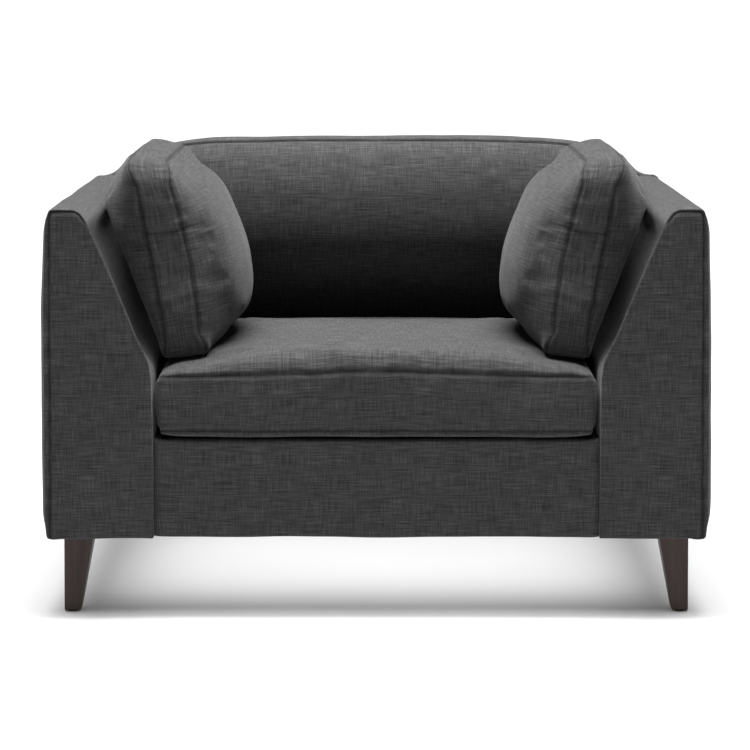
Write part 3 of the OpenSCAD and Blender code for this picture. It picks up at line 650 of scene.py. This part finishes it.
# ---------------------------------------------------------------- back
def make_back():
    Hx = curve([0, 170, 240, 341, 375, 410, 456, 496, 530, 555, 570, 640],
               [BH, BH - .5, BH - 2, BH - 4.5, BH - 7, BH - 11, BH - 20, BH - 34, BH - 50, AH + 8.5, AH + 3.5, AH + 3])
    cx, cyr, R0 = HW - 180, YR - 180, 180 - BULGE
    zk = np.array([322, 344, 384, 432, 474, 520, 566, 610, 660, 705, 738, 768, 792, 808, 817, 822])
    yk = YR - np.array([176, 175, 164, 156, 164, 184, 206, 221, 226, 222, 214, 201, 186, 172, 161, 150])
    top_y = np.array([-142, -120, -90, -62, -42, -27])       # from the rear face, at the centre
    top_z = np.array([827.5, 830, 829.5, 826, 819, 808])
    rear_z = np.array([790, 768, 755, 742, 700, 640, 560, 470, 380, 290, 220, 180, 160, 148.5])
    # stations from the middle to the right corner's end
    ang = np.radians(np.linspace(90, 0, 40))
    xs_mid = np.concatenate([np.linspace(0, 400, 58), [410, 418, 425]])
    stations = [("mid", x) for x in xs_mid] + [("arc", a) for a in ang]
    rows, kinds = [], []
    for kind, val in stations:
        if kind == "mid":
            x, rx, sy = val, 0.0, 1.0
        else:
            x = cx + (180 - (HW - SIDE) + taper(AH)) * math.cos(val)
            rx, sy = math.cos(val), math.sin(val)
        H = float(Hx(x))
        arc = kind == "arc"
        edge_y = cyr + R0 * sy if arc else YR - BULGE
        wall = lambda q: 180 - (HW - SIDE) + float(taper(q))
        F = YR - 232 + 47 * float(sstep(SI + 94, HW - 72, x))     # how far forward the front may come
        b = float(sstep(SI + 80, SI + 150, x))
        pts = []
        for y, z in zip(yk, zk):
            yy = max(y, F) if x < SI + 94 else y + (F - y) * b if y < F else y
            yy = min(yy, edge_y - 3 + 0 * y)
            Ht = H + (AH - H) * b * (1 - float(sstep(BY - 10, BY + 90, yy)))
            pts.append((x, yy, 322 + (z - 322) * (Ht - 322) / (828 - 322)))
        seam_i = len(pts) - 1
        y0 = pts[-1][1]
        span = edge_y + BULGE - 27 - y0
        for ty, tz in zip(top_y, top_z):
            f = (ty + 150) / (150 - 27)
            yy = y0 + max(span, 1.0) * f if span > 1 else y0 + f * max(edge_y - y0, 0.2)
            if arc:
                f2 = f
                yy = y0 + (edge_y - 12 * sy - y0) * f2
            Ht = H + (AH - H) * b * (1 - float(sstep(BY - 10, BY + 90, yy)))
            drop = (tz - 828) * (1 - 0.72 * b)
            pts.append((x, yy, Ht + drop))
        for z in rear_z:
            zz = z if z < 700 else 700 + (z - 700) * (H - 700 - 14 * b) / (828 - 700 - 14 * 0)
            zz = min(zz, 700 + (z - 700) * (H - 700) / 128)
            bu = float(side_bulge(zz, H + 4)) * (1.0 if arc else 1.0)
            if arc:
                pts.append((cx + (wall(zz) + bu) * rx, cyr + (R0 + bu) * sy, zz))
            else:
                pts.append((x, YR - BULGE + bu, zz))
        rows.append(pts)
    A = np.array(rows)                                      # stations, keys, 3
    A[:, :, 0] += 0
    keys = A.shape[1]
    # smooth across each section
    seg = [5, 6, 7, 7, 8, 8, 8, 9, 8, 7, 7, 6, 5, 4, 4] + [5, 5, 6, 6, 5, 5] + [6, 6, 5, 5, 8, 10, 12, 14, 14, 12, 10, 8, 6, 5]
    dense = []
    for r in A:
        Q = np.vstack([2 * r[0] - r[1], r, 2 * r[-1] - r[-2]])
        out = []
        for i in range(1, len(Q) - 2):
            t = np.linspace(0, 1, seg[i - 1], endpoint=False)[:, None]
            a, b_, c_, d_ = Q[i - 1], Q[i], Q[i + 1], Q[i + 2]
            out.append(0.5 * (2 * b_ + (c_ - a) * t + (2 * a - 5 * b_ + 4 * c_ - d_) * t ** 2 + (3 * b_ - a - 3 * c_ + d_) * t ** 3))
        dense.append(np.vstack(out + [Q[-2][None]]))
    D = np.array(dense)
    start = np.concatenate([[0], np.cumsum(seg)])
    i_seam = start[len(zk) - 1]
    i_out = start[len(zk) + len(top_y) + 2]
    D = np.concatenate([(D * [-1, 1, 1])[::-1][:-1], D], 0)
    # inner face crowned from side to side
    xx = D[:, :, 0]
    idx = np.arange(D.shape[1])[None, :]
    inner = 1 - sstep(i_seam - 14, i_seam, idx)
    D[:, :, 1] -= 6 * np.clip(1 - (xx / 430) ** 2, 0, 1) * inner * sstep(start[5], start[8], idx)
    s = np.concatenate([[0], np.cumsum(np.linalg.norm(np.diff(D[len(D) // 2], axis=0), axis=1))])
    path = D[:, start[len(zk) + len(top_y) + 8]]
    u_out = np.concatenate([[0], np.cumsum(np.linalg.norm(np.diff(path, axis=0), axis=1))])
    c = Cloth("back")
    U_in = xx * MM
    V = np.broadcast_to(s[None, :], xx.shape) * MM
    i_top = start[len(zk) + len(top_y) - 1]
    c.grid(D[:, :i_seam + 1] * MM, U_in[:, :i_seam + 1] + 2.1, V[:, :i_seam + 1], flip=False)
    c.grid(D[:, i_seam:i_top + 1] * MM, U_in[:, i_seam:i_top + 1] + 2.6, V[:, i_seam:i_top + 1], flip=False)
    c.grid(D[:, i_top:] * MM, (u_out[:, None] + 0 * D[:, i_top:, 0]) * MM, D[:, i_top:, 2] * MM, flip=False)
    hem_to = np.stack([D[:, -1, 0] * 0.985, np.maximum(D[:, -1, 1] - 16, BY), D[:, -1, 2] - 1.5], -1)
    hem_mid = D[:, -1] * 0.6 + hem_to * 0.4 + [0, 0, -1.5]
    hem = np.stack([D[:, -1], hem_mid, hem_to], 1)
    c.grid(hem * MM, hem[:, :, 0] * MM, hem[:, :, 1] * MM, flip=False)
    o = c.build()
    lines = [D[:, i_seam] * MM]
    n0 = len(D) // 2
    ends = [j for j in range(len(D)) if abs(D[j, -20, 0]) <= 428]
    a, b = ends[0], ends[-1]
    lines += [D[a:b + 1, i_out] * MM, D[a, i_out:] * MM, D[b, i_out:] * MM]
    sew(o, lines, depth=2.6, width=2.4, puff=1.0, gather=0.4, seed=11, lumps=1.0, lump_size=0.15)
    return piece(o, "frame", fabric, ["back_cover", "back_padding", "outside_back_cover"])


subdivide(make_back())


# ---------------------------------------------------------------- front border and deck
def make_border():
    y0 = rail_lo[1] * 1000
    x = np.linspace(-SI - 1, SI + 1, 150)
    prof = catmull([(y0 + 15, ZB), (y0 + 5, ZB - 0.5), (y0 + 0.8, ZB + 3), (y0 - 0.4, Z0 + 12), (y0 - 1.6, Z0 + 60), (y0 - 2.0, Z0 + 100),
                    (y0 - 1.4, ZD - 30), (y0, ZD - 12), (y0 + 3, ZD - 4), (y0 + 9, ZD - 1.4), (y0 + 18, ZD - 1)], 70)
    P = np.zeros((len(x), len(prof), 3))
    P[:, :, 0] = x[:, None]
    P[:, :, 1] = prof[None, :, 0]
    P[:, :, 2] = prof[None, :, 1]
    end = (np.abs(x) - SI + 14).clip(0, 14)[:, None] / 14
    P[:, :, 1] += 5 * end ** 2
    s = np.concatenate([[0], np.cumsum(np.linalg.norm(np.diff(prof, axis=0), axis=1))])
    c = Cloth("front_border")
    c.grid(P * MM, P[:, :, 0] * MM + 3.3, s[None, :] * MM, flip=True)
    o = c.build()
    sew(o, [], seed=23, lumps=0.7, lump_size=0.13)
    return piece(o, "frame", fabric, ["border_cover", "border_padding"])


subdivide(make_border())


def make_deck():
    lo, hi = (np.array(v) * 1000 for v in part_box("deck_pad"))
    x = np.linspace(lo[0], hi[0], 60)
    y = np.linspace(lo[1], hi[1], 46)
    X, Y = np.meshgrid(x, y, indexing="ij")
    u = (X - lo[0]) / (hi[0] - lo[0]) * 2 - 1
    v = (Y - lo[1]) / (hi[1] - lo[1]) * 2 - 1
    Z = hi[2] - 0.6 - 5 * (1 - np.clip(1 - u ** 10, 0, 1) * np.clip(1 - v ** 10, 0, 1))
    c = Cloth("seat_deck")
    c.grid(np.stack([X, Y, Z], -1) * MM, X * MM, Y * MM)
    for a, b, f in ((0, None, True), (-1, None, False)):
        e = np.stack([X[a], Y[a], Z[a]], -1)
        g = np.stack([e, np.stack([X[a], Y[a], np.full(len(y), lo[2] + 0.5)], -1)], 0)
        c.grid(g * MM, g[:, :, 1] * MM, g[:, :, 2] * MM, flip=f)
    for a, f in ((0, False), (-1, True)):
        e = np.stack([X[:, a], Y[:, a], Z[:, a]], -1)
        g = np.stack([e, np.stack([X[:, a], Y[:, a], np.full(len(x), lo[2] + 0.5)], -1)], 0)
        c.grid(g * MM, g[:, :, 0] * MM, g[:, :, 2] * MM, flip=f)
    o = c.build()
    band = lo[1] + 95
    sew(o, [np.stack([np.linspace(lo[0], hi[0], 200), np.full(200, band), np.full(200, hi[2] - 0.6)], 1) * MM], depth=2.0, seed=31, lumps=0.5)
    return piece(o, "frame", felt, ["deck_pad"])


subdivide(make_deck())


# ---------------------------------------------------------------- box cushions
def rounded(hx, hy, r, nx, ny):
    """Two of the four curves of a rounded rectangle's outline, which meet at the corners' middles: bottom and right."""
    def half(ax, ay, n, rr):
        # from the lower-left corner's middle along the lower edge to the lower-right corner's middle
        a = np.radians(np.linspace(225, 270, 9))[:-1]
        p = np.stack([-ax + rr + rr * np.cos(a), -ay + rr + rr * np.sin(a)], 1)
        m = np.stack([np.linspace(-ax + rr, ax - rr, n), np.full(n, -ay)], 1)
        b = np.radians(np.linspace(270, 315, 9))[1:]
        q = np.stack([ax - rr + rr * np.cos(b), -ay + rr + rr * np.sin(b)], 1)
        return np.vstack([p, m, q])
    bottom = half(hx, hy, nx, r)
    right = half(hy, hx, ny, r)[:, [1, 0]] * [-1, 1]
    return bottom, right


def box_cushion(name, hx, hy, r, z_seam_lo, z_seam_hi, dome_lo, dome_hi, nx, ny, nz, bow):
    """A cushion made of two panels and a strip. Sizes in mm; local x and y across the panels, z through them."""
    bottom, right = rounded(hx, hy, r, nx, ny)
    top = bottom * [1, -1]
    left = right * [-1, 1]
    G = coons(left, right, bottom, top)
    c = Cloth(name)
    e = np.minimum(1 - np.abs(G[:, :, 0]) / hx, 1 - np.abs(G[:, :, 1]) / hy).clip(0, 1)
    # distance in from the edge, in mm
    dx, dy = hx - np.abs(G[:, :, 0]), hy - np.abs(G[:, :, 1])
    for sgn, zs_, dome in ((1, z_seam_hi, dome_hi), (-1, z_seam_lo, dome_lo)):
        z = zs_(G[:, :, 0], G[:, :, 1]) + sgn * dome(dx.clip(0), dy.clip(0), G[:, :, 0], G[:, :, 1])
        P = np.stack([G[:, :, 0], G[:, :, 1], z], -1)
        c.grid(P * MM, G[:, :, 0] * MM + (0 if sgn > 0 else 0.9), G[:, :, 1] * MM, flip=sgn < 0)
        if sgn > 0:
            Ptop = P
        else:
            Pbot = P
    loop = lambda P: np.vstack([P[0, :], P[1:, -1], P[-1, ::-1][1:], P[::-1, 0][1:]])
    a, b = loop(Pbot), loop(Ptop)
    t = np.linspace(0, 1, nz)[None, :, None]
    S = a[:, None] * (1 - t) + b[:, None] * t
    # the strip bows out between its seams
    d = np.gradient(a[:, :2], axis=0)
    out = np.stack([d[:, 1], -d[:, 0]], 1)
    out /= np.linalg.norm(out, axis=1)[:, None]
    out[0] = out[-1] = (out[0] + out[-1]) / np.linalg.norm(out[0] + out[-1])
    S[:, :, :2] += out[:, None] * ((bow[0] + (bow[1] - bow[0]) * np.abs(out[:, 0]))[:, None, None] * (4 * t * (1 - t)) ** 0.8)
    run = np.concatenate([[0], np.cumsum(np.linalg.norm(np.diff(a[:, :2], axis=0), axis=1))])
    c.grid(S * MM, (run[:, None] + 0 * S[:, :, 0]) * MM + 1.7, S[:, :, 2] * MM, flip=False)
    return c, a * MM, b * MM


def fit(P, axis, lo, hi):
    """Stretches the points along one axis to reach from lo to hi, in mm."""
    a, b = P[:, axis].min(), P[:, axis].max()
    P[:, axis] = (P[:, axis] - a) / (b - a) * (hi - lo) * MM + lo * MM


def make_seat():
    x_half = seat_hi[0] * 1000 - 6.5
    y0, y1 = seat_lo[1] * 1000 + 3, seat_hi[1] * 1000 - 2.4
    yc, hy = (y0 + y1) / 2, (y1 - y0) / 2
    end = lambda x: np.exp(-(x_half - np.abs(x)).clip(0) / 18)
    seam_hi = lambda x, y: ZS - 14 + (8.5 - 9.5 * sstep(100, -200, y)) * (1 - (x / x_half) ** 2) - 8 * end(x)
    seam_lo = lambda x, y: ZD + 12 + 7 * end(x)

    def dome_hi(dx, dy, x, y):
        rise = ZS + 8 + 7 * np.clip(1 - (x / 300) ** 2, 0, 1) ** 1.5 - seam_hi(x, y) - 8 * (1 - np.clip(1 - (x / x_half) ** 4, 0, 1))
        rear = 1 - np.exp(-(hy - y).clip(0) / 13.0)
        side = (1 - np.exp(-dx / 32.0) * 0.55) * (1 - np.exp(-dx / 13.0))
        back = 13 * sstep(hy - 110, hy, y)
        # plump along the front, where the top panel rolls right over, and sinking towards the rear
        plump = ZS + 25 - 0.047 * (y + hy) - seam_hi(x, y)
        roll = lambda r: np.sqrt(1 - (1 - np.clip((y + hy) / r, 0, 1)) ** 2)
        mid = 1 - sstep(190, 335, np.abs(x))
        outer = rise * side * roll(28.0) - back * np.clip(rise / 20, 0, 1)
        return (outer * (1 - mid) + (plump - back) * roll(38.0) * mid) * rear

    def dome_lo(dx, dy, x, y):
        return 11.5 * (1 - np.exp(-(np.minimum(dx, dy) / 9.0)))

    c, a, b = box_cushion("seat_cushion", x_half, hy, 20, seam_lo, seam_hi, dome_lo, dome_hi, 84, 64, 19, (2.5, 6.5))
    o = c.build()
    P = coords(o)
    P[:, 1] += yc * MM
    set_coords(o, P)
    a = a + [0, yc * MM, 0]
    b = b + [0, yc * MM, 0]

    def keep(P):
        # calm where it lies on the deck and at the zip
        k = sstep(ZD * MM + 0.002, ZD * MM + 0.02, P[:, 2])
        k = k * (1 - 0.95 * sstep(y1 * MM - 0.03, y1 * MM - 0.002, P[:, 1]))
        return k
    field = near(coords(o), [a, b])
    inflate(o, np.exp(-(field[0] / 0.006) ** 2), frames=14, pressure=2.2, cap=0.006, shrink=0.05, keep=keep)
    P = coords(o)
    fit(P, 0, -(SI - 1), SI - 1)
    fit(P, 1, seat_lo[1] * 1000, y1 + 2)
    P[:, 0] = np.clip(P[:, 0], -(SI - 0.8) * MM, (SI - 0.8) * MM)
    P[:, 1] = np.minimum(P[:, 1], y1 * MM)
    P[:, 2] = np.maximum(P[:, 2], ZD * MM + 0.0002)
    set_coords(o, P)
    lim = lambda P: np.where(P[:, 1] > (y1 - 3) * MM, 0.25, 1.0) * np.where(P[:, 2] < (ZD + 4) * MM, 0.2, 1.0)
    sew(o, None, depth=2.8, width=2.6, puff=1.4, gather=0.55, seed=41, lumps=1.2, lump_size=0.12, limit=lim, field=field)
    return piece(o, "seat_cushion", fabric, ["seat_cushion_cover", "seat_cushion_core"])


subdivide(make_seat())


# ---------------------------------------------------------------- side pillows
plo, phi_ = (np.array(v) * 1000 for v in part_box("right_pillow_cover"))
LEAN = math.radians(10)
PX = SI - 55
PZ = ZS - 5.0
PL, PH, BAND = phi_[1] - plo[1], 385.0, 66.0
PYC = (plo[1] + phi_[1]) / 2


def pillow_to_world(L):
    """Local: x across (towards the arm), y along the seat, z up from the pillow's foot."""
    c, s = math.cos(LEAN), math.sin(LEAN)
    return np.stack([PX + L[..., 0] * c + L[..., 2] * s, PYC + L[..., 1], PZ - L[..., 0] * s + L[..., 2] * c], -1)


def make_pillow(sign):
    hu, hv = PL / 2 - 2.5, PH / 2

    def dome(depth, low, up):
        def f(dx, dy, x, y):
            # y here is the pillow's height, from -hv to hv; the fill sinks downwards
            yy = (y - low) / np.where(y > low, hv - low, hv + low)
            u = np.clip(np.abs(x) / hu, 0, 1)
            v = np.clip(np.abs(yy), 0, 1)
            return depth * np.clip(1 - u ** 2.6, 0, 1) ** 0.62 * np.clip(1 - v ** np.where(yy > 0, up, 2.5), 0, 1) ** 0.60
        return f
    lo = lambda x, y: -BAND / 2 + 0 * x
    hi = lambda x, y: BAND / 2 + 0 * x
    # the panel at low z faces the seat, the other one faces the arm
    c, a, b = box_cushion("pillow", hu, hv, 46, lo, hi, dome(87, -50, 1.45), dome(88, 37, 2.2), 72, 60, 15, (1.5, 1.5))
    c.name = "left_pillow" if sign < 0 else "right_pillow"
    o = c.build()

    def place(P):
        # panel x -> along the seat, panel y -> up, through -> across
        L = np.stack([P[..., 2], P[..., 0], P[..., 1] + hv * MM], -1) * 1000
        # bowed towards the seat, with its top and bottom corners pulled in
        L[..., 0] -= 7 * (1 - ((L[..., 2] - hv) / hv) ** 2)
        return pillow_to_world(L)
    # the foot's corners are squarer than the top ones
    P = coords(o)
    cx_, cy_ = (hu - 46) * MM, (hv - 46) * MM
    dx_, dy_ = np.abs(P[:, 0]) - cx_, -P[:, 1] - cy_
    on = (dx_ > 0) & (dy_ > 0)
    r_ = np.sqrt(dx_ ** 2 + dy_ ** 2) + 1e-9
    k_ = np.where(on, (np.abs(dx_ / r_) ** 3.4 + np.abs(dy_ / r_) ** 3.4) ** (-1 / 3.4), 1.0)
    field = near(P, [a, b])
    P[:, 0] = np.where(on, np.sign(P[:, 0]) * (cx_ + dx_ * k_), P[:, 0])
    P[:, 1] = np.where(on, -(cy_ + dy_ * k_), P[:, 1])
    set_coords(o, P)
    inflate(o, np.exp(-(field[0] / 0.006) ** 2), frames=14, pressure=2.0, cap=0.007, shrink=0.06,
            keep=lambda P: 1 - 0.95 * sstep(hu * MM - 0.012, hu * MM - 0.001, P[:, 0]) * (np.abs(P[:, 2]) < BAND / 2 * MM))
    P = coords(o)
    fit(P, 0, -hu - 1.5, hu + 1.5)
    fit(P, 1, -hv, hv + 1.5)
    set_coords(o, P)
    sew(o, None, field=field, depth=2.8, width=2.6, puff=1.6, gather=0.8, seed=61, lumps=1.7, lump_size=0.085,
        limit=lambda P: np.where((P[:, 0] > (hu - 3) * MM) & (np.abs(P[:, 2]) < BAND / 2 * MM), 0.2, 1.0))
    L = coords(o) * 1000
    # creases across the front of the strip and beside it
    front = sstep(-hu + 60, -hu - 4, L[:, 0])
    for h, amp, wid, tilt in ((54, 5.0, 5.2, 0.16), (22, 1.2, 8.0, -0.05), (-30, 1.1, 9.0, 0.12), (84, 2.0, 7.5, 0.10), (-84, 0.9, 10, -0.1)):
        hh = h + tilt * L[:, 2] + 3 * np.sin(L[:, 2] / 17 + h)
        band = np.exp(-((L[:, 1] - hh) / wid) ** 2)
        ext = 1 - sstep(BAND / 2 + 2, BAND / 2 + 30, np.abs(L[:, 2]))
        L[:, 0] += amp * band * ext * front
        L[:, 0] -= 0.5 * amp * np.exp(-((L[:, 1] - hh - 1.9 * wid) / wid) ** 2) * ext * front
    set_coords(o, L * MM)
    L = coords(o) * 1000
    W = place(coords(o))
    # the strip along the top is crowned, and its inner corner has sunk a little
    high = sstep(hv - 120, hv, L[:, 1])
    inward = sstep(BAND / 2 + 20, -BAND / 2, L[:, 2])
    W[:, 2] += high * (20 * np.clip(1 - (L[:, 0] / hu) ** 2, 0, 1) * np.exp(-((L[:, 2] - 6) / 46) ** 2) - 19 * inward)
    # rests on the seat cushion and against the arm
    X, Y, Z = W[:, 0], W[:, 1], W[:, 2]
    edge = curve([ZS - 60, ZS - 15, ZS + 18, ZS + 58, ZS + 143, ZS + 214, ZS + 252, AH - 14, AH - 4, AH + 30, AH + 80, AH + 140],
                 [SI + 1, SI + 1, SI + 5, SI + 18, SI + 50, SI + 80, SI + 99, SI + 111, SI + 124, SI + 170, SI + 215, SI + 240])
    lim = edge(Z) - 6
    over = X - lim
    soft = 10.0
    X = np.where(over > -soft, lim - soft + soft * (1 - np.exp(-(over + soft) / soft)), X)
    base = ZS + 1.2 - 3.2 * (1 - sstep(-345, -250, Y))
    un = base - Z
    Z = np.where(un > -6, base + 6 - 6 * (1 - np.exp(-(un + 6) / 6)), Z)
    W = np.stack([X, Y, Z], 1)
    if sign < 0:
        W[:, 0] *= -1
        o.data.flip_normals()
    set_coords(o, W * MM)
    body = "left_pillow" if sign < 0 else "right_pillow"
    # across is +X for the right pillow: the panels' winding was made for x, y, z in that order
    return piece(o, body, fabric, [body + "_cover", body + "_filling"])


for sgn in (-1, 1):
    subdivide(make_pillow(sgn))


# ---------------------------------------------------------------- legs
def make_leg(node):
    lo, hi = (np.array(v) * 1000 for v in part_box(node))
    right, rear = lo[0] > 0, lo[1] > 0
    z_lo, z_hi = lo[2], hi[2]
    sx, sy = (1 if right else -1), (1 if rear else -1)
    ox = hi[0] if right else lo[0]
    oy = hi[1] if rear else lo[1]
    foot, head = 30.0, 55.0
    rows = []
    for z in np.linspace(z_lo, z_hi - 0.4, 12):
        f = (z - z_lo) / (z_hi - z_lo)
        w = foot + (head - foot) * f
        out = 2.0 * f
        if z == z_lo:
            pass
        x1, y1 = ox - sx * out, oy - sy * out
        rows.append([(x1, y1), (x1 - sx * w, y1), (x1 - sx * w, y1 - sy * w), (x1, y1 - sy * w)])
    bm = bmesh.new()
    rings = []
    for z, r in zip(np.linspace(z_lo, z_hi - 0.4, 12), rows):
        rings.append([bm.verts.new((x * MM, y * MM, z * MM)) for x, y in r])
    for a, b in zip(rings, rings[1:]):
        for i in range(4):
            bm.faces.new((a[i], a[(i + 1) % 4], b[(i + 1) % 4], b[i]))
    bm.faces.new(rings[0][::-1])
    bm.faces.new(rings[-1])
    bmesh.ops.recalc_face_normals(bm, faces=bm.faces)
    edges = [e for e in bm.edges if (e.calc_face_angle(0) > 0.9)]
    bmesh.ops.bevel(bm, geom=edges, offset=0.0018, segments=3, profile=0.6, affect="EDGES")
    me = bpy.data.meshes.new(node + "_shaped")
    bm.to_mesh(me)
    bm.free()
    me.polygons.foreach_set("use_smooth", [True] * len(me.polygons))
    o = bpy.data.objects.new(node + "_shaped", me)
    scene.collection.objects.link(o)
    m = o.modifiers.new("flat", "WEIGHTED_NORMAL")
    m.keep_sharp = True
    return piece(o, "frame", leg_wood, [node])


for leg in ("front_left_leg", "front_right_leg", "rear_left_leg", "rear_right_leg"):
    make_leg(leg)


# ---------------------------------------------------------------- studio
FLOOR = 0.40


def stage_material():
    n = Nodes("pale_floor")
    obj = n.add("ShaderNodeTexCoord").outputs["Object"]
    f = n.noise(obj, 3, 3, 0.5)
    n.link(n.ramp(f, [(0.3, (FLOOR, FLOOR, FLOOR)), (0.7, (FLOOR * 1.04, FLOOR * 1.04, FLOOR * 1.04))]), n.b.inputs["Base Color"])
    n.b.inputs["Roughness"].default_value = 0.9
    n.b.inputs["Specular IOR Level"].default_value = 0.1
    return n.m


bm = bmesh.new()
bmesh.ops.create_grid(bm, x_segments=2, y_segments=2, size=160)
me = bpy.data.meshes.new("floor")
bm.to_mesh(me)
bm.free()
floor = bpy.data.objects.new("floor", me)
scene.collection.objects.link(floor)
floor.data.materials.append(stage_material())

world = bpy.data.worlds.new("studio")
scene.world = world
world.use_nodes = True
wt = world.node_tree
bg = wt.nodes["Background"]
bg.inputs[0].default_value = (1, 1, 1, 1)
bg.inputs[1].default_value = 0.09


def area(name, loc, aim, size, power, color=(1, 1, 1)):
    d = bpy.data.lights.new(name, "AREA")
    d.shape = "RECTANGLE"
    d.size, d.size_y = size
    d.energy = power
    d.color = color
    o = bpy.data.objects.new(name, d)
    o.location = loc
    o.rotation_mode = "QUATERNION"
    o.rotation_quaternion = (Vector(aim) - Vector(loc)).to_track_quat("-Z", "Y")
    o.visible_camera = False
    scene.collection.objects.link(o)
    return o


sun = bpy.data.lights.new("overhead_softbox", "SUN")
sun.energy = 9.0
sun.angle = math.radians(56)
sun_o = bpy.data.objects.new("overhead_softbox", sun)
sun_o.rotation_mode = "QUATERNION"
sun_o.rotation_quaternion = Vector((0, -0.14, -1)).to_track_quat("-Z", "Y")
scene.collection.objects.link(sun_o)

area("front_fill", (0, -3.3, 0.22), (0, 0.0, 0.45), (2.6, 0.36), 16)
area("overhead_strip", (0, -0.34, 3.2), (0, -0.30, 0), (2.0, 0.14), 136)
area("under_fill", (0, 0.0, 0.143), (0, 0.0, 0), (1.0, 0.60), 5)

cam_data = bpy.data.cameras.new("camera")
cam = bpy.data.objects.new("camera", cam_data)
scene.collection.objects.link(cam)
cam_data.sensor_width = 36
cam_data.lens = 2155 / 750 * 36
cam_data.shift_y = -0.1
cam_data.shift_x = -0.0017
cam.location = (0, -0.42 - 3.828, 1.155)
cam.rotation_euler = (math.radians(90 - 8.44), 0, 0)
scene.camera = cam
scene.view_settings.view_transform = "Standard"
scene.view_settings.look = "None"
